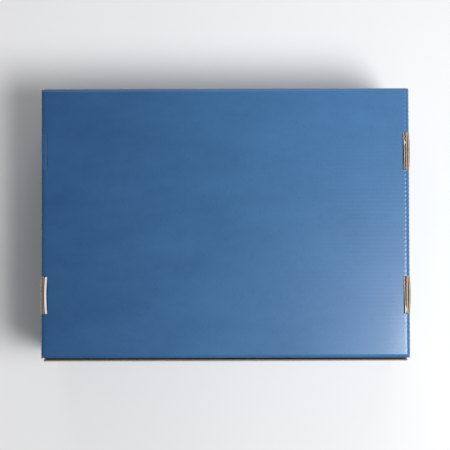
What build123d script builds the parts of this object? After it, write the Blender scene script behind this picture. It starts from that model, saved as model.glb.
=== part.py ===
"""A roll-end box of thin corrugated board, shut and lying on its lid with its base uppermost.

Millimetres, +Z up. The origin is on the surface that the box lies on, in the middle of the box.
+X runs along the box, -Y is the front, where the cover flap hangs, and +Y is the rear, where the lid is hinged.
Each panel is a flat slab that ends at the inner line of its creases. Each crease fills its outer corner with a
quarter round.
"""

import os

from build123d import *

# Driving dimensions
box_length = 300.0  # outside, over the side walls
tray_depth = 220.0  # outside, over the front and rear walls
box_height = 100.0  # from the lid's outer face to the base's
board = 1.5  # thickness of the corrugated board

# Named clearances
sheet_gap = 0.3  # between sheets that lie side by side
crease_gap = 0.2  # between a moving panel and its crease
cover_gap = 0.4  # between the front wall and the cover flap
tab_recess = 0.1  # a lock tab's end lies this far below the base's outer face
side_wall_inset = 0.3  # a side wall's upright edges, from the tray's front and rear faces
chip_kerf = 0.12  # the die's cut around the chip

# Lock slots and tabs
slot_length = 30.6
slot_offset = 58.5  # from the middle of the tray to the middle of a slot
tab_end_gap = 0.4

# Flaps
corner_flap_length = 34.0
corner_flap_base_taper = 9.0
corner_flap_rim_taper = 3.0
dust_flap_inset = 12.0  # a dust flap's ends, from the tray's front and rear faces
dust_flap_height = 54.0
dust_flap_taper = 12.0
dust_flap_corner = 12.0
cover_flap_side_inset = 2.0
cover_flap_rise = 2.0  # the cover flap's free edge stops this far short of the base's outer face
cover_flap_corner = 2.0

# Places that follow from them
half_length = box_length / 2
cover_depth = cover_gap + board
tray_front = -(tray_depth + cover_depth) / 2 + cover_depth
tray_rear = tray_front + tray_depth
tray_middle = (tray_front + tray_rear) / 2
cover_outer = tray_front - cover_depth
cover_inner = tray_front - cover_gap
base_inner = box_height - board
tray_bottom = board + sheet_gap
rim_inner = tray_bottom + board

outer_wall_inner = half_length - board
corner_flap_outer = outer_wall_inner - sheet_gap
corner_flap_inner = corner_flap_outer - board
inner_wall_outer = corner_flap_inner - sheet_gap
inner_wall_inner = inner_wall_outer - board
slot_inner = inner_wall_inner - sheet_gap
dust_flap_outer = inner_wall_inner - sheet_gap
dust_flap_inner = dust_flap_outer - board

wall_front = tray_front + board
wall_rear = tray_rear - board
inside_front = wall_front + sheet_gap
inside_rear = wall_rear - sheet_gap
inside_top = base_inner - sheet_gap
cover_half = half_length - cover_flap_side_inset
dust_flap_length = tray_depth - 2 * dust_flap_inset
slot_centres = (tray_middle - slot_offset, tray_middle + slot_offset)


def slab(x_low, x_high, y_low, y_high, z_low, z_high):
    """A flat piece of board between two corners."""
    block = Box(x_high - x_low, y_high - y_low, z_high - z_low)
    return Pos((x_low + x_high) / 2, (y_low + y_high) / 2, (z_low + z_high) / 2) * block


def sided(x_inner, x_outer, side):
    """The low and high X of a piece on the left (-1) or right (+1)."""
    return (x_inner, x_outer) if side > 0 else (-x_outer, -x_inner)


def side_slab(side, x_inner, x_outer, y_low, y_high, z_low, z_high):
    """A piece of board on the left or right side."""
    x_low, x_high = sided(x_inner, x_outer, side)
    return slab(x_low, x_high, y_low, y_high, z_low, z_high)


def round_corner(length, centre, axis, first, second):
    """A quarter round about a crease's inner line: two arms give the quadrant that it fills."""
    middle = Vector(*centre)
    plane = Plane(origin=middle - Vector(*axis) * (length / 2), x_dir=first, z_dir=axis)
    second_local = plane.to_local_coords(middle + Vector(*second)) - plane.to_local_coords(middle)
    turn = 1 if second_local.Y > 0 else -1
    with BuildSketch(plane) as sketch:
        with BuildLine():
            start = (board, 0)
            end = (0, turn * board)
            Line((0, 0), start)
            RadiusArc(start, end, -turn * board)
            Line(end, (0, 0))
        make_face()
    return extrude(sketch.sketch, amount=length)


def flap(plane, points, corner=0):
    """A flap from its outline, the plane's second direction up, with its highest corners rounded."""
    outline = Polygon(*points, align=None)
    if corner:
        outline = fillet(outline.vertices().group_by(Axis.Y)[-1], corner)
    return extrude(plane * outline, amount=board, dir=plane.z_dir)


def lid():
    """The panel the box lies on, with shoulders in front of and behind the dust flaps, and its creases."""
    half_dust = dust_flap_length / 2 + sheet_gap
    panel = slab(-dust_flap_inner, dust_flap_inner, cover_inner, wall_rear, 0, board)
    panel += slab(-cover_half, cover_half, cover_inner, tray_middle - half_dust, 0, board)
    panel += slab(-corner_flap_inner, corner_flap_inner, tray_middle + half_dust, wall_rear, 0, board)
    nodes = {"lid_panel": panel}
    nodes["lid_rear_crease"] = round_corner(
        2 * corner_flap_inner, (0, wall_rear, board), (1, 0, 0), (0, 1, 0), (0, 0, -1)
    )
    nodes["lid_front_crease"] = round_corner(
        2 * cover_half, (0, cover_inner, board), (1, 0, 0), (0, -1, 0), (0, 0, -1)
    )
    for name, side in (("left", -1), ("right", 1)):
        nodes[f"lid_{name}_crease"] = round_corner(
            dust_flap_length, (side * dust_flap_inner, tray_middle, board), (0, 1, 0), (side, 0, 0), (0, 0, -1)
        )
    return nodes


def lid_flaps():
    """The cover flap outside the front wall and the dust flaps inside the tray."""
    low = board + crease_gap
    top = box_height - cover_flap_rise
    front = Plane(origin=(0, cover_inner, 0), x_dir=(1, 0, 0), z_dir=(0, -1, 0))
    cover = [(-cover_half, low), (cover_half, low), (cover_half, top), (-cover_half, top)]
    nodes = {"front_cover_flap": flap(front, cover, cover_flap_corner)}
    half = dust_flap_length / 2
    high = low + dust_flap_height
    dust = [(-half, low), (half, low), (half - dust_flap_taper, high), (dust_flap_taper - half, high)]
    for name, side in (("left", -1), ("right", 1)):
        edge = Plane(origin=(side * dust_flap_inner, tray_middle, 0), x_dir=(0, side, 0), z_dir=(side, 0, 0))
        nodes[f"{name}_dust_flap"] = flap(edge, dust, dust_flap_corner)
    return nodes


def base():
    """The base panel with its lock slots, and the creases around it, broken at the slots."""
    panel = slab(-outer_wall_inner, outer_wall_inner, wall_front, wall_rear, base_inner, box_height)
    for side in (-1, 1):
        for centre in slot_centres:
            low, high = centre - slot_length / 2, centre + slot_length / 2
            panel -= side_slab(side, slot_inner, half_length, low, high, base_inner - board, box_height + board)
    nodes = {"base_panel": panel}
    for name, y_edge, out in (("front", wall_front, -1), ("rear", wall_rear, 1)):
        nodes[f"base_{name}_crease"] = round_corner(
            2 * corner_flap_inner, (0, y_edge, base_inner), (1, 0, 0), (0, out, 0), (0, 0, 1)
        )
    stops = [wall_front, wall_rear]
    for centre in slot_centres:
        stops += [centre - slot_length / 2, centre + slot_length / 2]
    stops.sort()
    for name, side in (("left", -1), ("right", 1)):
        pieces = []
        for low, high in zip(stops[::2], stops[1::2]):
            middle = (side * outer_wall_inner, (low + high) / 2, base_inner)
            pieces.append(round_corner(high - low, middle, (0, 1, 0), (side, 0, 0), (0, 0, 1)))
        nodes[f"base_{name}_crease"] = Compound(children=pieces)
    return nodes


def front_and_rear():
    """The front and rear walls with their corner creases and the flaps trapped between the side walls."""
    nodes = {
        "front_wall": slab(
            -corner_flap_inner, corner_flap_inner, tray_front, wall_front, tray_bottom, base_inner
        ),
        "rear_wall": slab(
            -corner_flap_inner, corner_flap_inner, wall_rear, tray_rear, board + crease_gap, base_inner
        ),
    }
    low = rim_inner + sheet_gap
    for end, y_edge, out in (("front", wall_front, -1), ("rear", wall_rear, 1)):
        for name, side in (("left", -1), ("right", 1)):
            x_edge = side * corner_flap_inner
            nodes[f"{end}_{name}_corner_crease"] = round_corner(
                inside_top - low, (x_edge, y_edge, (low + inside_top) / 2), (0, 0, 1), (side, 0, 0), (0, out, 0)
            )
            plane = Plane(origin=(x_edge, y_edge, 0), x_dir=(0, side, 0), z_dir=(side, 0, 0))
            tip = -out * side * corner_flap_length
            tip_low = low + corner_flap_rim_taper
            tip_high = inside_top - corner_flap_base_taper
            outline = [(0, low), (tip, tip_low), (tip, tip_high), (0, inside_top)]
            nodes[f"{end}_{name}_corner_flap"] = flap(plane, outline)
    return nodes


def side_walls():
    """The rolled side walls: an outer wall, a rim with two rounded corners, and an inner wall with lock tabs."""
    nodes = {}
    for name, side in (("left", -1), ("right", 1)):
        nodes[f"{name}_outer_wall"] = side_slab(
            side,
            outer_wall_inner,
            half_length,
            tray_front + side_wall_inset,
            tray_rear - side_wall_inset,
            rim_inner,
            base_inner,
        )
        rim = side_slab(side, inner_wall_outer, outer_wall_inner, inside_front, inside_rear, tray_bottom, rim_inner)
        span = inside_rear - inside_front
        for x_edge, out in ((outer_wall_inner, side), (inner_wall_outer, -side)):
            middle = (side * x_edge, tray_middle, rim_inner)
            rim += round_corner(span, middle, (0, 1, 0), (out, 0, 0), (0, 0, -1))
        nodes[f"{name}_rim"] = rim
        wall = side_slab(side, inner_wall_inner, inner_wall_outer, inside_front, inside_rear, rim_inner, inside_top)
        for centre in slot_centres:
            if side < 0 and centre > tray_middle:
                continue  # this tab stays below the chip that still fills its slot
            half_tab = slot_length / 2 - tab_end_gap
            wall += side_slab(
                side,
                inner_wall_inner,
                inner_wall_outer,
                centre - half_tab,
                centre + half_tab,
                inside_top,
                box_height - tab_recess,
            )
        nodes[f"{name}_inner_wall"] = wall
    return nodes


def chip():
    """The die-cut chip that still hangs in the rear left slot, with its part of the crease."""
    low = slot_centres[1] - slot_length / 2 + chip_kerf
    high = slot_centres[1] + slot_length / 2 - chip_kerf
    flat = side_slab(-1, slot_inner + chip_kerf, outer_wall_inner, low, high, base_inner, box_height)
    middle = (-outer_wall_inner, (low + high) / 2, base_inner)
    return {"slot_chip": flat + round_corner(high - low, middle, (0, 1, 0), (-1, 0, 0), (0, 0, 1))}


os.makedirs("parts", exist_ok=True)
for group in (lid(), lid_flaps(), base(), front_and_rear(), side_walls(), chip()):
    for node, shape in group.items():
        export_step(shape, f"parts/{node}.step")
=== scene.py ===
"""A shut roll-end box of thin fluted board, printed blue outside, lying on its lid on a pale table.

Metres, in the CAD frame. Every panel is built as fluted board: an outer liner of white paper with the print
on it, a wavy sheet glued between the liners, and a brown kraft liner inside.
"""

import math

import bpy
import numpy as np
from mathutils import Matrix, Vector, noise


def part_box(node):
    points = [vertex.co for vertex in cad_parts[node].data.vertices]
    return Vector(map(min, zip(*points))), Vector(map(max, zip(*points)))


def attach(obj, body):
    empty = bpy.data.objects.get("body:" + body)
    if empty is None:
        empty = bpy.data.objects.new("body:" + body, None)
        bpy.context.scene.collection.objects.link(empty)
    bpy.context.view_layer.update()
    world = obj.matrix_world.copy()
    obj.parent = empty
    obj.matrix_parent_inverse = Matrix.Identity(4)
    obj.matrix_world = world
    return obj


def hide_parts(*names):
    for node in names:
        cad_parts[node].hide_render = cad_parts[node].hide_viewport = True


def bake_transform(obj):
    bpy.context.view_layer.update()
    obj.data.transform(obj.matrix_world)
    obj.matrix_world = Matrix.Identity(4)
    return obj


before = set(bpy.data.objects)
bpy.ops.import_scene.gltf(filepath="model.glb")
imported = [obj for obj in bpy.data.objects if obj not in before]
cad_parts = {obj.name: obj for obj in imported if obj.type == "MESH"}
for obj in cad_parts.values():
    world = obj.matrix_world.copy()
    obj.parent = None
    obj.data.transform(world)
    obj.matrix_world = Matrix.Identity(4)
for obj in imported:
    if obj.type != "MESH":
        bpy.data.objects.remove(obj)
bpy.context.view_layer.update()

MM = 0.001

# Fluted board
BOARD = 1.5 * MM
LINER = 0.2 * MM
WAVY_SHEET = 0.16 * MM
FLUTE_PITCH = 3.39 * MM
ROWS_PER_FLUTE = 8
WASHBOARD = 0.005 * MM  # how far the flutes show through a liner
FLUTE_INSET = 0.12 * MM  # the wavy sheet ends this far inside a cut edge
WAVY_LEAN = 0.8  # how much the wavy sheet's faces shift on its slopes to keep its thickness
JUMP = 0.004 * MM  # half the width of a step in a panel's outline
NEAR_COLUMNS = np.array([0, 0.3, 0.6, 1.0, 1.5, 2.2, 3.4]) * MM  # close-set columns at a panel's two ends
EDGE_RUB = 0.5 * MM  # how far print is rubbed in from a panel's edge
CORNER_RUB = 3 * MM

# Creases
ROUNDING = 3.6 * MM  # the outer radius of a folded crease
# The front and rear creases' skin wraps round the corners: its reach, and its drop
TUCK = (1.5 * MM, 0.7 * MM)
SIDE_REACH = 0.7 * MM  # the side creases' skin runs this far past the base's ends
TICK = 0.1 * MM  # how far the flutes stand out along a crease
LAP = 0.35 * MM  # a crease's skin runs this far under the panels beside it
LAP_SINK = 0.03 * MM
SKIN_DRIFT = 0.04 * MM  # a crease's skin wanders in and out by this much
BEAD = 0.9 * MM  # the kraft bead in a crease's inner corner
FRONT_BEAD = 0.3 * MM  # smaller, to clear the front wall as the cover flap opens

# Clearances and shapes that the panels' boxes don't give
SHEET_GAP = 0.3 * MM
CHIP_KERF = 0.12 * MM
TAB_END_GAP = 0.4 * MM
COVER_CORNER = 2.0 * MM
COVER_SPRING = 0.5 * MM  # the cover flap's free edge springs out from the front wall
COVER_TIP = 3 * MM
CHIP_SINK = 0.3 * MM
CHIP_TRIM = 0.35 * MM
DUST_CORNER = 12.0 * MM
DUST_TAPER = 12.0 * MM
CORNER_FLAP_BASE_TAPER = 9.0 * MM
CORNER_FLAP_RIM_TAPER = 3.0 * MM

X, Y, Z = 0, 1, 2
PRINT, PAPER, KRAFT, FLUTE = "blue_print_with_painted_shade", "white_paper", "kraft_liner", "kraft_flute"


# ---------------------------------------------------------------- finishes


def node_group(name, inputs, outputs):
    """An empty shader group with its sockets, and its two end nodes."""
    group = bpy.data.node_groups.new(name, "ShaderNodeTree")
    for label, kind, value in inputs:
        socket = group.interface.new_socket(label, in_out="INPUT", socket_type=f"NodeSocket{kind}")
        if value is not None:
            socket.default_value = value
    for label, kind in outputs:
        group.interface.new_socket(label, in_out="OUTPUT", socket_type=f"NodeSocket{kind}")
    return group, group.nodes.new("NodeGroupInput"), group.nodes.new("NodeGroupOutput")


def fill(tree, node, links):
    """Sets or links a node's sockets, given as (socket, value or output)."""
    for socket, value in links:
        if isinstance(value, bpy.types.NodeSocket):
            tree.links.new(value, node.inputs[socket])
        else:
            node.inputs[socket].default_value = value
    return node


def add(tree, kind, links=(), **settings):
    """A node with its settings and its sockets' values or links."""
    node = tree.nodes.new(f"ShaderNode{kind}")
    for key, value in settings.items():
        setattr(node, key, value)
    return fill(tree, node, links)


def ramp(tree, factor, stops):
    """A colour ramp between (position, colour) stops."""
    node = add(tree, "ValToRGB", [("Fac", factor)])
    elements = node.color_ramp.elements
    while len(elements) < len(stops):
        elements.new(0.5)
    for element, (position, colour) in zip(elements, stops):
        element.position = position
        element.color = (*colour, 1)
    return node.outputs["Color"]


def shade(tree, factor, low, high, new_low, new_high):
    """A value moved from one range to another, and held inside the new one."""
    links = [("Value", factor), ("From Min", low), ("From Max", high)]
    links += [("To Min", new_low), ("To Max", new_high)]
    return add(tree, "MapRange", links, interpolation_type="SMOOTHSTEP").outputs["Result"]


def mix(tree, factor, first, second):
    """Two colours mixed. A mix node keeps its colour sockets apart from those for values and vectors."""
    colour_in, other_colour_in, colour_out = 6, 7, 2
    links = [(0, factor), (colour_in, first), (other_colour_in, second)]
    return add(tree, "Mix", links, data_type="RGBA").outputs[colour_out]


def math_node(tree, operation, first, second):
    """One sum."""
    return add(tree, "Math", [(0, first), (1, second)], operation=operation).outputs[0]


def weighed(tree, parts):
    """Values added up, each with its own weight."""
    total = 0.0
    for value, weight in parts:
        links = [(0, value), (1, weight), (2, total)]
        total = add(tree, "Math", links, operation="MULTIPLY_ADD").outputs[0]
    return total


def noise_node(tree, vector, scale, detail, roughness=0.5, distortion=0.0):
    """Soft noise, from 0 to 1."""
    links = [("Vector", vector), ("Scale", scale), ("Detail", detail)]
    links += [("Roughness", roughness), ("Distortion", distortion)]
    return add(tree, "TexNoise", links).outputs["Fac"]


def stretched(tree, vector, scale, turn):
    """Coordinates stretched along one way and turned about the upright."""
    node = add(tree, "Mapping", [("Vector", vector), ("Scale", scale), ("Rotation", (0, 0, turn))])
    return node.outputs["Vector"]


def paper_fibre_group():
    """Paper's fibres, fine grain and cloudy formation: a tone about 0.5 and a height."""
    group, inputs, outputs = node_group(
        "paper_fibre",
        [("Vector", "Vector", None), ("Grain", "Float", 900.0), ("Clouds", "Float", 45.0)],
        [("Tone", "Float"), ("Height", "Float")],
    )
    vector = inputs.outputs["Vector"]
    drawn_out = stretched(group, vector, (1.0, 0.28, 1.0), 0.3)
    fibres = noise_node(group, drawn_out, inputs.outputs["Grain"], detail=4.0, roughness=0.65)
    clouds = noise_node(group, vector, inputs.outputs["Clouds"], detail=3.0, roughness=0.55)
    group.links.new(weighed(group, [(fibres, 0.78), (clouds, 0.22)]), outputs.inputs["Tone"])
    group.links.new(fibres, outputs.inputs["Height"])
    return group


def mottled_ink_and_painted_shade_group():
    """A flooded blue that clouds, streaks along one diagonal and speckles, with painted shade that darkens
    it towards the left and lightens it towards the right.
    """
    group, inputs, outputs = node_group(
        "mottled_ink_and_painted_shade",
        [("Vector", "Vector", None), ("Deep", "Color", (0, 0, 0, 1)), ("Light", "Color", (1, 1, 1, 1))],
        [("Color", "Color"), ("Speckle", "Float")],
    )
    vector = inputs.outputs["Vector"]
    clouds = noise_node(group, vector, 16.0, detail=4.0, roughness=0.6, distortion=0.6)
    diagonal = stretched(group, vector, (1.0, 3.2, 1.0), -0.62)
    streaks = noise_node(group, diagonal, 13.0, detail=3.0, roughness=0.55)
    mottle = noise_node(group, vector, 120.0, detail=4.0, roughness=0.7)
    speckle = noise_node(group, vector, 1500.0, detail=2.0, roughness=0.6)
    # Painted shade: a ramp along X blends the blue darker towards the left (-X) and lighter towards the
    # right, where the lamps stand
    along = add(group, "SeparateXYZ", [("Vector", vector)]).outputs["X"]
    painted_side_shade = shade(group, along, -0.2, 0.19, 0.0, 1.0)
    tones = [(clouds, 0.27), (streaks, 0.35), (mottle, 0.15), (speckle, 0.1), (painted_side_shade, 0.78)]
    factor = math_node(group, "SUBTRACT", weighed(group, tones), 0.325)
    colour = mix(group, factor, inputs.outputs["Deep"], inputs.outputs["Light"])
    group.links.new(colour, outputs.inputs["Color"])
    group.links.new(speckle, outputs.inputs["Speckle"])
    return group


def edge_wear_group():
    """Where ink has cracked and rubbed off, from how worn a place is."""
    group, inputs, outputs = node_group(
        "edge_wear",
        [("Vector", "Vector", None), ("Worn", "Float", 0.0), ("Amount", "Float", 0.5)],
        [("Mask", "Float")],
    )
    vector = inputs.outputs["Vector"]
    cracks = noise_node(group, vector, 620.0, detail=4.0, roughness=0.7)
    patches = noise_node(group, vector, 55.0, detail=3.0, roughness=0.6)
    worn = math_node(group, "MULTIPLY", inputs.outputs["Worn"], inputs.outputs["Amount"])
    reach = weighed(group, [(cracks, 0.6), (patches, 0.4), (worn, 1.0)])
    group.links.new(shade(group, reach, 0.78, 0.92, 0.0, 1.0), outputs.inputs["Mask"])
    return group


PAPER_FIBRE = paper_fibre_group()
MOTTLED_INK_AND_PAINTED_SHADE = mottled_ink_and_painted_shade_group()
EDGE_WEAR = edge_wear_group()


def use(tree, group, links):
    """A group placed in a material."""
    return fill(tree, add(tree, "Group", node_tree=group), links)


def new_material(name):
    """A material's tree, its shader and its own coordinates."""
    material = bpy.data.materials.new(name)
    material.use_nodes = True
    tree = material.node_tree
    shader = next(node for node in tree.nodes if node.type == "BSDF_PRINCIPLED")
    place = add(tree, "TexCoord").outputs["Object"]
    return material, tree, shader, place


def bumped(tree, shader, height, strength, distance):
    """The shader's normal, from a height."""
    bump = add(tree, "Bump", [("Height", height), ("Strength", strength), ("Distance", distance)])
    tree.links.new(bump.outputs["Normal"], shader.inputs["Normal"])


def blue_print_with_painted_shade():
    """Blue ink with a satin varnish on white paper, rubbed at the creases and cut edges, and painted with
    shade that darkens it towards the left.
    """
    material, tree, shader, place = new_material(PRINT)
    shades = [("Deep", (0.013, 0.062, 0.165, 1)), ("Light", (0.052, 0.172, 0.37, 1))]
    # The ink colour holds painted shade: darker towards the left, lighter towards the right
    ink = use(tree, MOTTLED_INK_AND_PAINTED_SHADE, [("Vector", place), *shades])
    fibre = use(tree, PAPER_FIBRE, [("Vector", place), ("Grain", 1100.0), ("Clouds", 60.0)])
    worn = add(tree, "Attribute", attribute_name="worn").outputs["Fac"]
    wear = use(tree, EDGE_WEAR, [("Vector", place), ("Worn", worn), ("Amount", 0.3)])
    colour = mix(tree, wear.outputs["Mask"], ink.outputs["Color"], (0.62, 0.66, 0.68, 1))
    tree.links.new(colour, shader.inputs["Base Color"])
    gloss = shade(tree, fibre.outputs["Tone"], 0.3, 0.7, 0.26, 0.34)
    rough = math_node(tree, "ADD", gloss, math_node(tree, "MULTIPLY", wear.outputs["Mask"], 0.35))
    tree.links.new(rough, shader.inputs["Roughness"])
    shader.inputs["Specular IOR Level"].default_value = 0.3
    shader.inputs["Coat Weight"].default_value = 0.3
    shader.inputs["Coat Roughness"].default_value = 0.1
    rubbed_down = math_node(tree, "MULTIPLY", wear.outputs["Mask"], 0.5)
    height = math_node(tree, "SUBTRACT", fibre.outputs["Height"], rubbed_down)
    bumped(tree, shader, height, 0.22, 0.00006)
    return material


def plain_paper(name, dark, light, grain, roughness, bump):
    """Uncoated paper between two tones."""
    material, tree, shader, place = new_material(name)
    fibre = use(tree, PAPER_FIBRE, [("Vector", place), ("Grain", grain), ("Clouds", 50.0)])
    colour = ramp(tree, fibre.outputs["Tone"], [(0.34, dark), (0.66, light)])
    tree.links.new(colour, shader.inputs["Base Color"])
    rough = shade(tree, fibre.outputs["Tone"], 0.3, 0.7, roughness, roughness - 0.1)
    tree.links.new(rough, shader.inputs["Roughness"])
    shader.inputs["Specular IOR Level"].default_value = 0.3
    bumped(tree, shader, fibre.outputs["Height"], bump, 0.0001)
    return material


def table_top():
    """A smooth white table."""
    material, tree, shader, place = new_material("table_top")
    cloud = noise_node(tree, place, 5.0, detail=2.0)
    colour = ramp(tree, cloud, [(0.3, (0.8, 0.8, 0.805)), (0.7, (0.82, 0.82, 0.825))])
    tree.links.new(colour, shader.inputs["Base Color"])
    shader.inputs["Roughness"].default_value = 0.55
    return material


FINISHES = {
    PRINT: blue_print_with_painted_shade(),
    PAPER: plain_paper(PAPER, (0.56, 0.555, 0.53), (0.78, 0.775, 0.75), 900.0, 0.75, 0.4),
    KRAFT: plain_paper(KRAFT, (0.37, 0.268, 0.2), (0.5, 0.382, 0.29), 700.0, 0.8, 0.5),
    FLUTE: plain_paper(FLUTE, (0.32, 0.238, 0.18), (0.44, 0.342, 0.262), 800.0, 0.85, 0.5),
}
ORDER = list(FINISHES)


# ---------------------------------------------------------------- mesh code


def grid_faces(grid):
    """The four-sided faces between a grid's points."""
    return np.stack([grid[:-1, :-1], grid[:-1, 1:], grid[1:, 1:], grid[1:, :-1]], -1).reshape(-1, 4)


class Sheets:
    """Closed thin sheets that are gathered into one mesh."""

    def __init__(self):
        self.points = []
        self.faces = []
        self.finishes = []
        self.worn = []
        self.count = 0

    def add(self, top, bottom, finishes, worn=None):
        """A closed sheet between two grids. finishes are those of its top, its underside and its edges."""
        rows, columns = top.shape[:2]
        upper = self.count + np.arange(rows * columns).reshape(rows, columns)
        lower = upper + rows * columns
        rims = [(upper[0, ::-1], lower[0, ::-1]), (upper[-1], lower[-1])]
        rims += [(upper[:, 0], lower[:, 0]), (upper[::-1, -1], lower[::-1, -1])]
        parts = [(grid_faces(upper), finishes[0]), (grid_faces(lower)[:, ::-1], finishes[1])]
        for a, b in rims:
            parts.append((np.stack([a[:-1], a[1:], b[1:], b[:-1]], -1)[:, ::-1], finishes[2]))
        # The grid's own sense decides which way its faces look
        across = top[0, -1] - top[0, 0]
        along = top[-1, 0] - top[0, 0]
        flip = np.dot(np.cross(across, along), (top - bottom).mean((0, 1))) < 0
        for faces, finish in parts:
            self.faces.append(faces[:, ::-1] if flip else faces)
            self.finishes += [ORDER.index(finish)] * len(faces)
        worn = np.zeros((rows, columns)) if worn is None else worn
        for grid in (top, bottom):
            self.points.append(grid.reshape(-1, 3))
            self.worn.append(worn.reshape(-1))
        self.count += 2 * rows * columns

    def piece(self, name):
        """The mesh as a new object."""
        mesh = bpy.data.meshes.new(name)
        points, faces = np.concatenate(self.points), np.concatenate(self.faces)
        mesh.from_pydata(points.tolist(), [], faces.tolist())
        for finish in ORDER:
            mesh.materials.append(FINISHES[finish])
        mesh.polygons.foreach_set("material_index", self.finishes)
        mesh.polygons.foreach_set("use_smooth", [True] * len(self.finishes))
        attribute = mesh.attributes.new("worn", "FLOAT", "POINT")
        attribute.data.foreach_set("value", np.concatenate(self.worn).astype(np.float32))
        mesh.set_sharp_from_angle(angle=math.radians(40))
        mesh.update()
        return placed(name, mesh)


def placed(name, data):
    """A new object in the scene."""
    thing = bpy.data.objects.new(name, data)
    bpy.context.collection.objects.link(thing)
    return thing


def seat(piece, body, nodes):
    """A piece that stands for CAD nodes and rides on their body."""
    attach(piece, body)
    if nodes:
        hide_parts(*nodes)


def fall(distance, reach):
    """1 at a distance of 0, falling smoothly to 0 at reach."""
    t = np.clip(1 - distance / reach, 0, 1)
    return t * t * (3 - 2 * t)


def rounded_off(distance):
    """How deep a folded crease's rounding has gone at a distance from the crease."""
    reach = np.clip(ROUNDING - BOARD - distance, 0, ROUNDING)
    return ROUNDING - np.sqrt(ROUNDING**2 - reach**2)


def wander(points, scale, seed):
    """Smooth noise between about -1 and 1 at each point."""
    return np.array([noise.noise(Vector(p) * scale + Vector((seed, seed, seed))) for p in points])


def unmoved(points):
    """Leaves points where they are."""
    return points


def never_cut(place):
    """For a panel whose rows all end in creases."""
    return False


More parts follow.
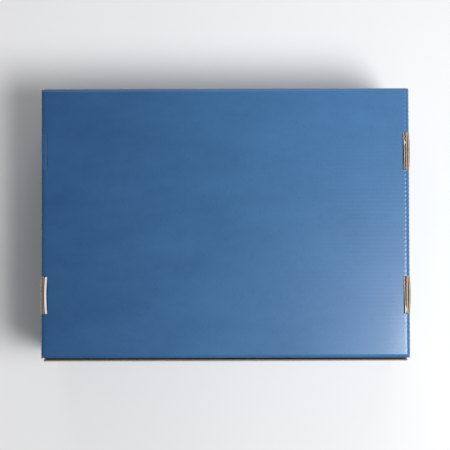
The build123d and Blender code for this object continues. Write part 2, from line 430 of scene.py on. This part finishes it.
class Panel:
    """One panel of fluted board: u runs along the flutes, v across them, n out of the printed side."""

    def __init__(
        self, node, along, out, out_sign, span=None, breaks=(), creases="", columns=14, cut=never_cut
    ):
        self.low, self.high = [np.array(corner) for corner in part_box(node)]
        self.u, self.n = along, out
        self.v = 3 - along - out
        self.sign = out_sign
        self.printed = self.high[out] if out_sign > 0 else self.low[out]
        self.span = span or self.whole_row
        self.creases = creases  # any of u v U V: a crease at the low or high end of u or v
        self.cut = cut  # whether a row ends in cut edges, not in creases
        self.rows = self.row_places(breaks)
        ends = np.array([self.span(v) for v in self.rows])
        self.columns = np.empty((len(self.rows), len(NEAR_COLUMNS) * 2 + columns))
        for i, (low, high) in enumerate(ends):
            step = NEAR_COLUMNS * min(1, (high - low) / (4 * NEAR_COLUMNS[-1]))
            middle = np.linspace(low + step[-1], high - step[-1], columns + 2)[1:-1]
            self.columns[i] = [*(low + step), *middle, *(high - step[::-1])]
        self.ends = ends

    def whole_row(self, v):
        """A row's two ends on a panel with straight sides."""
        return self.low[self.u], self.high[self.u]

    def row_places(self, breaks):
        """Where the rows stand, with a pair of rows at each step in the outline."""
        low, high = self.low[self.v], self.high[self.v]
        count = max(4, round((high - low) / FLUTE_PITCH * ROWS_PER_FLUTE))
        places = list(np.linspace(low, high, count + 1))
        for place in breaks:
            places = [p for p in places if abs(p - place) > 2 * JUMP]
            places += [place - JUMP, place + JUMP]
        return np.array(sorted(places))

    def at(self, u, v, n):
        """Points in the frame, n measured inwards from the printed face."""
        points = np.empty((*u.shape, 3))
        points[..., self.u] = u
        points[..., self.v] = v
        points[..., self.n] = self.printed - self.sign * n
        return points

    def edge_distances(self, u, v):
        """How far each place is from each end of u and of v."""
        ends = self.ends[:, :, None]
        by_u = {"u": u - ends[:, 0], "U": ends[:, 1] - u}
        return by_u | {"v": v - self.low[self.v], "V": self.high[self.v] - v}

    def build(self, name, bow=0.0, sway=unmoved, lip=None, seed=1.0):
        """Both liners and the wavy sheet.

        bow lifts the middle outwards, sway moves any point once more, and lip gives how much thicker the
        outer and the inner liner are where the board is crushed."""
        u = self.columns
        v = np.repeat(self.rows[:, None], u.shape[1], 1)
        away = self.edge_distances(u, v)
        cut = np.array([self.cut(place) for place in self.rows])[:, None]
        pressed = np.zeros_like(u)
        ticks = np.zeros_like(u)
        for edge in self.creases:
            depth = rounded_off(away[edge])
            if edge in "uU":
                depth = np.where(cut, 0, depth)
                share = np.clip(1 - away[edge] / (ROUNDING - BOARD), 0, 1) ** 0.5
                ticks = np.maximum(ticks, np.where(cut, 0, share))
            pressed = np.maximum(pressed, depth)
        lift = self.lift(u, v, bow, seed)
        ridge = np.cos(2 * math.pi * v / FLUTE_PITCH)
        ridges = (WASHBOARD + (TICK - WASHBOARD) * ticks) * ridge
        nearest = np.minimum.reduce(list(away.values()))
        worn = np.clip(np.exp(-nearest / EDGE_RUB), 0, 1)
        across, along = np.minimum(away["u"], away["U"]), np.minimum(away["v"], away["V"])
        corner = np.exp(-np.hypot(across, along) / CORNER_RUB)
        worn = np.clip(0.5 * worn + 0.35 * corner, 0, 1)
        sheets = Sheets()
        outer = pressed - ridges - lift
        inner = BOARD - WASHBOARD * (1 - ridge) - lift
        outer_lip, inner_lip = lip(u, v) if lip else (0, 0)
        under = outer + LINER + outer_lip
        over = inner - LINER - inner_lip
        sheets.add(sway(self.at(u, v, outer)), sway(self.at(u, v, under)), (PRINT, PAPER, PAPER), worn)
        sheets.add(sway(self.at(u, v, over)), sway(self.at(u, v, inner)), (KRAFT, KRAFT, KRAFT))
        self.wavy(sheets, under, over, sway)
        return sheets.piece(name)

    def lift(self, u, v, bow, seed):
        """How far the panel has bowed outwards at each place: nothing at its edges."""
        low, high = self.low, self.high
        s = np.clip((u - low[self.u]) / (high[self.u] - low[self.u]), 0, 1)
        t = np.clip((v - low[self.v]) / (high[self.v] - low[self.v]), 0, 1)
        dome = (np.sin(math.pi * s) * np.sin(math.pi * t)) ** 0.7
        ripple = 0.6 * np.sin(2.3 * math.pi * s + seed) * np.sin(1.7 * math.pi * t + 2 * seed)
        return bow * dome * (1 + 0.35 * ripple)

    def wavy(self, sheets, under, over, sway):
        """The fluted sheet, from cut edge to cut edge, as tall as the space between the liners."""
        u = np.clip(self.columns, self.ends[:, :1] + FLUTE_INSET, self.ends[:, 1:] - FLUTE_INSET)
        v = np.repeat(self.rows[:, None], u.shape[1], 1)
        angle = 2 * math.pi * v / FLUTE_PITCH
        height = np.clip((over - under - WAVY_SHEET) / 2, 0, 1)
        middle = (over + under) / 2 - height * np.cos(angle)
        slope = height * 2 * math.pi / FLUTE_PITCH * np.sin(angle)
        across = WAVY_SHEET / 2 / np.sqrt(1 + slope**2)
        top = sway(self.at(u, v + slope * across * WAVY_LEAN, middle - across))
        bottom = sway(self.at(u, v - slope * across * WAVY_LEAN, middle + across))
        sheets.add(top, bottom, (FLUTE, FLUTE, FLUTE))


def crease_rows(low, high, across_flutes):
    """Where a crease's sections stand along its run."""
    step = FLUTE_PITCH / ROWS_PER_FLUTE if across_flutes else 4 * MM
    return np.linspace(low, high, max(3, round((high - low) / step) + 1))


def add_strip(sheets, run, rows, section, normals, thickness, finishes, ripple, worn=None):
    """Adds a skin along a crease: one section of points and their outward normals at each row."""
    top = np.zeros((len(rows), len(section), 3)) + section
    top += normals * ripple[:, :, None]
    bottom = top - normals * thickness
    top[..., run] = rows[:, None]
    bottom[..., run] = rows[:, None]
    sheets.add(top, bottom, finishes, worn)


def tucked(low, high, reach, draw):
    """Rows that carry a crease's skin on past its two ends, and how far it draws in there."""
    past = np.array([1, 0.93, 0.8, 0.6, 0.35])
    drawn = 1 - np.sqrt(1 - past**2)
    return low - past * reach, high + past[::-1] * reach, drawn * draw


def crease(
    name, body, run, corner, first, second, span, across=False, pieces=None, moves=None, nodes=(),
    tuck=None, seed=1.0, radius=ROUNDING, bead_size=BEAD,
):
    """The skin round a crease's outer corner and the bead in its inner one.

    corner is the point where the two panels' inner faces meet; first and second point from there to the
    printed faces of the first and second panel. moves names the two bodies that the crease joins."""
    corner, first, second = (np.array(a, float) for a in (corner, first, second))
    reach = radius - BOARD
    start = math.asin(reach / radius)
    turn = np.linspace(start, math.pi / 2 - start, 9)[:, None]
    normals = first * np.cos(turn) + second * np.sin(turn)
    arc = corner - (first + second) * reach + normals * radius
    # The skin's two ends run on under the panels' liners
    tangents = second * np.cos(turn) - first * np.sin(turn)
    before = arc[:1] - tangents[:1] * LAP - normals[:1] * LAP_SINK
    after = arc[-1:] + tangents[-1:] * LAP - normals[-1:] * LAP_SINK
    section = np.concatenate([before, arc, after])
    normals = np.concatenate([normals[:1], normals, normals[-1:]])
    middle = np.sin(np.linspace(0, math.pi, len(section)))[None, :]
    skin = Sheets()
    for low, high in pieces or [span]:
        rows = crease_rows(low, high, across)
        drawn = np.zeros(len(rows))
        if tuck:
            before_ends, after_ends, inwards = tucked(low, high, *tuck)
            rows = np.concatenate([before_ends, rows, after_ends])
            drawn = np.concatenate([inwards, drawn, inwards[::-1]])
        places = np.zeros((len(rows), 3)) + corner
        places[:, run] = rows
        drift = wander(places, 180.0, seed)[:, None]
        waves = TICK * np.cos(2 * math.pi * rows / FLUTE_PITCH)[:, None] if across else 0
        from_end = np.clip(np.minimum(rows - low, high - rows), 0, 1)[:, None]
        worn = np.clip(0.35 * middle + 0.3 * np.exp(-from_end / (2 * MM)) + 0.15 * drift, 0, 1)
        ripple = SKIN_DRIFT * drift * middle + waves - drawn[:, None]
        add_strip(skin, run, rows, section, normals, LINER, (PRINT, PAPER, PAPER), ripple, worn)
    skin = skin.piece(f"{name}_skin")
    bead = crease_bead(name, *span, run, corner, first, second, bead_size)
    if moves:
        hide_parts(*nodes)
        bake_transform(skin)
        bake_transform(bead)
    else:
        seat(skin, body, nodes)
        seat(bead, body, [])


def crease_bead(name, low, high, run, corner, first, second, size):
    """The kraft liner's low bead in a crease's inner corner."""
    turn = np.linspace(0, 1, 7)[:, None]
    inwards = -(first + second) / math.sqrt(2)
    path = (1 - turn) ** 2 * (corner - second * size) + turn**2 * (corner - first * size)
    path = path + 2 * turn * (1 - turn) * (corner + inwards * 0.25 * size)
    rows = crease_rows(low, high, False)
    bead = Sheets()
    normals = np.zeros_like(path) + inwards
    still = np.zeros((len(rows), len(path)))
    add_strip(bead, run, rows, path, normals, LINER * 0.6, (KRAFT, KRAFT, KRAFT), still)
    return bead.piece(f"{name}_bead")


# ---------------------------------------------------------------- the tray


chip_low, chip_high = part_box("slot_chip")
base_low, base_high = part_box("base_panel")
tray_middle = (base_low.y + base_high.y) / 2
slot_low = chip_low.y - CHIP_KERF - tray_middle
slot_high = chip_high.y + CHIP_KERF - tray_middle
slot_x = -(chip_high.x + CHIP_KERF)
SLOTS = [
    (tray_middle - slot_high, tray_middle - slot_low),
    (tray_middle + slot_low, tray_middle + slot_high),
]
SLOT_ENDS = [end for slot in SLOTS for end in slot]


def in_slot(y):
    """Whether a place along the side lies within a lock slot."""
    return any(low < y < high for low, high in SLOTS)


def free_slots(side):
    """The slots on a side that a lock tab stands in: the chip still fills the rear left one."""
    return SLOTS if side > 0 else SLOTS[:1]


def base_span(y):
    """The base panel's left and right edges, cut in at the lock slots."""
    half = slot_x if in_slot(y) else base_high.x
    return -half, half


def base_panel():
    panel = Panel("base_panel", X, Z, 1, base_span, SLOT_ENDS, "uUvV", columns=26, cut=in_slot)
    seat(panel.build("base_board", bow=0.25 * MM, seed=0.7), "tray", ["base_panel"])


def node_span(node, run):
    """A node's two ends along one axis."""
    low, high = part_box(node)
    return low[run], high[run]


def base_creases():
    top = base_high.z - BOARD
    for node, y, out in (("base_front_crease", base_low.y, -1), ("base_rear_crease", base_high.y, 1)):
        span = node_span(node, X)
        crease(
            node, "tray", X, (0, y, top), (0, 0, 1), (0, out, 0), span, nodes=[node],
            tuck=TUCK, seed=3.1 * out,
        )
    stops = [base_low.y - SIDE_REACH, *SLOT_ENDS, base_high.y + SIDE_REACH]
    pieces = list(zip(stops[::2], stops[1::2]))
    for node, side in (("base_left_crease", -1), ("base_right_crease", 1)):
        corner = (side * base_high.x, 0, top)
        span = node_span(node, Y)
        crease(
            node, "tray", Y, corner, (0, 0, 1), (side, 0, 0), span, True, pieces, nodes=[node],
            seed=5.3 * side,
        )


def slot_bulge(side):
    """The outer wall stands out a little where a lock tab has pushed through beside it."""
    top = base_high.z
    wall_out = base_high.x + BOARD
    push = (0.1 if side < 0 else 0.75) * MM
    squeeze = 0.4 if side < 0 else 0.0
    bend_depth, bend_height, crush_depth = 16 * MM, 14 * MM, 4 * MM

    def sway(points):
        rise = np.clip((points[..., Z] - (top - bend_depth)) / bend_height, 0, 1) ** 2
        edge = fall(top - BOARD - points[..., Z], crush_depth)
        for low, high in free_slots(side):
            t = np.clip((points[..., Y] - low) / (high - low), 0, 1)
            within = np.sin(math.pi * t) ** 0.6
            crush = squeeze * edge * np.sin(math.pi * t) ** 0.15
            points[..., X] += side * push * within * rise + (side * wall_out - points[..., X]) * crush
        return points

    return sway


def slot_lip(side, u, v):
    """The outer wall's cut edge is crushed nearly shut in a lock slot."""
    within = np.zeros_like(v)
    for low, high in free_slots(side):
        within = np.maximum(within, ((v > low) & (v < high)) * 1.0)
    crushed = within * fall(np.abs(base_high.z - BOARD - u), 2.5 * MM) * (side > 0)
    return 0.12 * MM * crushed, 0.6 * MM * crushed


def outer_wall(side, name):
    node = f"{name}_outer_wall"
    ends = [end for slot in free_slots(side) for end in slot]

    def cut(y):
        return any(low < y < high for low, high in free_slots(side))

    def lip(u, v):
        return slot_lip(side, u, v)

    panel = Panel(node, Z, X, side, breaks=ends, creases="uU", columns=12, cut=cut)
    wall = panel.build(f"{name}_outer_board", bow=0.5 * MM, sway=slot_bulge(side), lip=lip, seed=1.9 + side)
    seat(wall, "tray", [node])


# How each lock tab sits in its slot, by side and slot: pushed outwards, bowed and leaning, in millimetres,
# and how much wider its crushed tip is at its front and rear ends
TAB_SEATS = {
    (-1, 0): (0.1, 0.65, 0.0, 0.25, 0.25),
    (-1, 1): (0.0, 0.0, 0.0, 0.0, 0.0),
    (1, 0): (0.9, 0.1, -0.1, 0.0, 1.1),
    (1, 1): (0.95, 0.45, 0.0, 0.6, 0.9),
}


def tab_sway(side):
    """Lock tabs lean, bow and splay a little in their slots."""
    top = base_high.z
    middle = side * (slot_x + 1.05 * MM)
    bend_height, tip_height = 14 * MM, 5 * MM

    def sway(points):
        y, z = points[..., Y], points[..., Z]
        rise = np.clip((z - (top - bend_height)) / bend_height, 0, 1) ** 1.5
        tip = np.clip((z - (top - tip_height)) / tip_height, 0, 1) ** 1.5
        push = np.zeros_like(y)
        wide = np.zeros_like(y)
        for i, (low, high) in enumerate(SLOTS):
            out, bow, lean, front_splay, rear_splay = TAB_SEATS[side, i]
            t = (y - low) / (high - low)
            within = fall(np.clip(np.abs(t - 0.5) - 0.5, 0, 1), 0.5)
            t = np.clip(t, 0, 1)
            push += within * (out + bow * (1 - (2 * t - 1) ** 2) + lean * (t - 0.5)) * MM
            wide += within * (front_splay + (rear_splay - front_splay) * t)
        points[..., X] += side * push * rise + (points[..., X] - middle) * wide * tip
        return points

    return sway


def tab_lip(side):
    """White paper crushed over a lock tab's tip, on the right side in two spots only."""
    top = base_high.z
    tip_height = 3.5 * MM
    front_inset, front_reach = 3 * MM, 5 * MM
    rear_inset, rear_reach = 8.5 * MM, 2.2 * MM

    def lip(u, v):
        tip = fall(np.abs(top - u), tip_height)
        if side < 0:
            return 1.1 * MM * tip, 0.0
        front = fall(np.abs(v - SLOTS[0][0] - front_inset), front_reach)
        rear = fall(np.abs(v - SLOTS[1][1] + rear_inset), rear_reach)
        return (0.9 * front + 0.5 * rear) * MM * tip, 0.25 * (1 - front) * MM * tip

    return lip


def inner_wall(side, name):
    """The rolled-over wall, with its lock tabs up through the base."""
    node = f"{name}_inner_wall"
    low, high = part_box(node)
    shoulder = base_low.z - SHEET_GAP
    tabs = [(a + TAB_END_GAP, b - TAB_END_GAP) for a, b in free_slots(side)]

    def span(y):
        return low.z, high.z if any(a < y < b for a, b in tabs) else shoulder

    breaks = [end for tab in tabs for end in tab]
    panel = Panel(node, Z, X, -side, span, breaks, "u", columns=16)
    seat(panel.build(f"{name}_inner_board", sway=tab_sway(side), lip=tab_lip(side)), "tray", [node])


def rim(name):
    """The double fold between a side's outer and inner walls."""
    node = f"{name}_rim"
    low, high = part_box(node)
    middle = (low.x + high.x) / 2
    pressed = float(rounded_off(0.0))
    half = (high.x - low.x) / 2 - pressed
    turn = np.linspace(0, math.pi, 13)
    drop = BOARD * np.sin(turn) ** 0.8
    section = np.stack([middle + half * np.cos(turn), 0 * turn, high.z - drop], 1)
    normals = np.stack([np.cos(turn) / half, 0 * turn, -np.sin(turn) / BOARD], 1)
    normals /= np.linalg.norm(normals, axis=1)[:, None]
    rows = crease_rows(low.y, high.y, True)
    flat = np.ones((1, len(section)))
    waves = 0.5 * TICK * np.cos(2 * math.pi * rows / FLUTE_PITCH)[:, None] * flat
    from_end = np.minimum(rows - low.y, high.y - rows)
    worn = (0.3 + 0.7 * np.exp(-from_end / (2 * MM)))[:, None] * flat
    sheets = Sheets()
    add_strip(sheets, Y, rows, section, normals, LINER, (PRINT, PAPER, PAPER), waves, worn)
    seat(sheets.piece(f"{name}_rim_fold"), "tray", [node])


def front_and_rear_walls():
    for node, out, creases, bow in (("front_wall", -1, "V", 0.0), ("rear_wall", 1, "vV", 0.5)):
        panel = Panel(node, X, Y, out, creases=creases, columns=10)
        seat(panel.build(f"{node}_board", bow=bow * MM, seed=2.6 + out), "tray", [node])


def corner_flap(end, out, name, side):
    node = f"{end}_{name}_corner_flap"
    low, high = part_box(node)
    root, tip = (low.y, high.y) if out < 0 else (high.y, low.y)

    def span(z):
        rim_share = (z - low.z) / CORNER_FLAP_RIM_TAPER
        base_share = (high.z - z) / CORNER_FLAP_BASE_TAPER
        end_y = root + (tip - root) * max(0.02, min(1, rim_share, base_share))
        return min(root, end_y), max(root, end_y)

    panel = Panel(node, Y, X, side, span, columns=3)
    seat(panel.build(f"{end}_{name}_corner_board"), "tray", [node])
    node = f"{end}_{name}_corner_crease"
    corner = (low.x if side > 0 else high.x, root, 0)
    span = node_span(node, Z)
    crease(
        node, "tray", Z, corner, (side, 0, 0), (0, out, 0), span, True, nodes=[node],
        seed=7.7 + side + out, radius=BOARD,
    )


def chip():
    """The die-cut chip that never fell out of the rear left slot, sunk a little on its free side."""
    ends = (chip_low.y, chip_high.y)

    def sink(points):
        points[..., Z] -= CHIP_SINK * np.clip((points[..., X] + base_high.x) / (3 * MM), 0, 1)
        return points

    def span(y):
        return -base_high.x, chip_high.x - CHIP_TRIM

    panel = Panel("slot_chip", X, Z, 1, span, creases="u", columns=4)
    seat(panel.build("slot_chip_board", sway=sink, seed=0.2), "tray", ["slot_chip"])
    corner = (-base_high.x, 0, base_high.z - BOARD)
    crease("slot_chip", "tray", Y, corner, (0, 0, 1), (-1, 0, 0), ends, True, seed=0.9)


def tray():
    base_panel()
    base_creases()
    front_and_rear_walls()
    for name, side in (("left", -1), ("right", 1)):
        outer_wall(side, name)
        inner_wall(side, name)
        rim(name)
        for end, out in (("front", -1), ("rear", 1)):
            corner_flap(end, out, name, side)
    chip()


# ---------------------------------------------------------------- the lid


def lid_panel():
    dust_low, dust_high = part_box("lid_right_crease")
    panel_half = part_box("lid_panel")[1].x
    wall_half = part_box("rear_wall")[1].x
    front_end = dust_low.y - SHEET_GAP
    rear_end = dust_high.y + SHEET_GAP

    def span(y):
        if y < front_end:
            half = panel_half
        elif y > rear_end:
            half = wall_half
        else:
            half = dust_low.x
        return -half, half

    def cut(y):
        return y < front_end or y > rear_end

    panel = Panel("lid_panel", X, Z, -1, span, [front_end, rear_end], "uUvV", columns=12, cut=cut)
    seat(panel.build("lid_board"), "lid", ["lid_panel"])


def lid_creases():
    low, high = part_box("lid_panel")
    for node, y, out, flap, bead_size in (
        ("lid_rear_crease", high.y, 1, "tray", BEAD),
        ("lid_front_crease", low.y, -1, "cover_flap", FRONT_BEAD),
    ):
        crease(
            node, "lid", X, (0, y, BOARD), (0, 0, -1), (0, out, 0), node_span(node, X),
            moves=("lid", flap), nodes=[node], bead_size=bead_size,
        )
    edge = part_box("lid_right_crease")[0].x
    for name, side in (("left", -1), ("right", 1)):
        node = f"lid_{name}_crease"
        corner = (side * edge, 0, BOARD)
        crease(
            node, "lid", Y, corner, (0, 0, -1), (side, 0, 0), node_span(node, Y), True,
            moves=("lid", f"{name}_dust_flap"), nodes=[node],
        )


def cover_flap():
    low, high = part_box("front_cover_flap")
    straight = high.z - COVER_CORNER

    def span(z):
        cut = COVER_CORNER - math.sqrt(max(0, COVER_CORNER**2 - max(0, z - straight) ** 2))
        return low.x + cut, high.x - cut

    def spring(points):
        rise = np.clip((points[..., Z] - low.z) / (high.z - low.z), 0, 1)
        tip = fall(high.z - points[..., Z], COVER_TIP)
        points[..., Y] += 0.25 * tip * (high.y - points[..., Y]) - COVER_SPRING * rise**2
        return points

    panel = Panel("front_cover_flap", X, Y, -1, span, creases="v", columns=12)
    board = panel.build("cover_board", bow=0.6 * MM, sway=spring, seed=4.4)
    seat(board, "cover_flap", ["front_cover_flap"])


def dust_flap(side, name):
    node = f"{name}_dust_flap"
    low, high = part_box(node)
    middle = (low.y + high.y) / 2
    half = (high.y - low.y) / 2
    rise = high.z - low.z
    slope = math.atan2(rise, DUST_TAPER)
    arc_start = half - DUST_TAPER - DUST_CORNER * math.tan(slope / 2)
    arc_stop = arc_start + DUST_CORNER * math.sin(slope)

    def span(y):
        out = abs(y - middle)
        if out <= arc_start:
            return low.z, high.z
        if out < arc_stop:
            return low.z, high.z - DUST_CORNER + math.sqrt(DUST_CORNER**2 - (out - arc_start) ** 2)
        return low.z, low.z + max(0.3 * MM, (half - out) * rise / DUST_TAPER)

    panel = Panel(node, Z, X, side, span, creases="u", columns=6)
    seat(panel.build(f"{name}_dust_board"), f"{name}_dust_flap", [node])


def lid():
    lid_panel()
    lid_creases()
    cover_flap()
    for name, side in (("left", -1), ("right", 1)):
        dust_flap(side, name)


# ---------------------------------------------------------------- table, light and camera


def table():
    half = 3.0
    corners = [(-half, -half, 0), (half, -half, 0), (half, half, 0), (-half, half, 0)]
    mesh = bpy.data.meshes.new("table")
    mesh.from_pydata(corners, [], [(0, 1, 2, 3)])
    mesh.materials.append(table_top())
    piece = placed("table", mesh)


def lamp(name, shape, size, power, place, rotation):
    """An area lamp."""
    data = bpy.data.lights.new(name, "AREA")
    data.shape = shape
    data.size = size
    data.energy = power
    thing = placed(name, data)
    thing.location = place
    thing.rotation_euler = rotation


def round_lamp(name, azimuth, rise, reach, size, power):
    """A round lamp aimed at the box's middle from an azimuth and a height above the horizon."""
    azimuth, rise = math.radians(azimuth), math.radians(rise)
    flat = reach * math.cos(rise)
    place = Vector((flat * math.cos(azimuth), flat * math.sin(azimuth), reach * math.sin(rise)))
    rotation = (Vector((0, 0, 0.05)) - place).to_track_quat("-Z", "Y").to_euler()
    lamp(name, "DISK", size, power, place, rotation)


def light():
    """A broad key high at the right, a low lamp behind, a softbox and a pale room."""
    round_lamp("key_lamp", -23, 63, 1.4, 0.62, 14.6)
    round_lamp("rear_lamp", 90, 32, 1.6, 1.4, 6.8)
    softbox()
    world = bpy.data.worlds.new("room")
    bpy.context.scene.world = world
    world.use_nodes = True
    background = world.node_tree.nodes["Background"]
    background.inputs["Color"].default_value = (0.99, 0.99, 1.0, 1)
    background.inputs["Strength"].default_value = 0.22
    bpy.context.scene.view_settings.view_transform = "Standard"


def softbox():
    """A square softbox whose nearer edge stands just clear of overhead."""
    azimuth = math.radians(-34)
    edge, height, side, power = 0.53, 2.0, 0.6, 6.2
    out = edge + side / 2
    place = (out * math.cos(azimuth), out * math.sin(azimuth), height)
    lamp("softbox", "SQUARE", side, power, place, (0, 0, azimuth))


def camera():
    """Looking down on the base, from very slightly in front."""
    tilt, roll = math.radians(1.5), math.radians(-0.15)
    height = 1.123
    aim_x, aim_y = -0.33 * MM, tray_middle - 1.63 * MM
    back = (height - base_high.z) * math.tan(tilt)
    data = bpy.data.cameras.new("camera")
    data.lens = 100.71
    data.sensor_width = 36
    thing = placed("camera", data)
    thing.location = (aim_x, aim_y - back, height)
    thing.rotation_euler = (tilt, 0, roll)
    bpy.context.scene.camera = thing


tray()
lid()
table()
light()
camera()
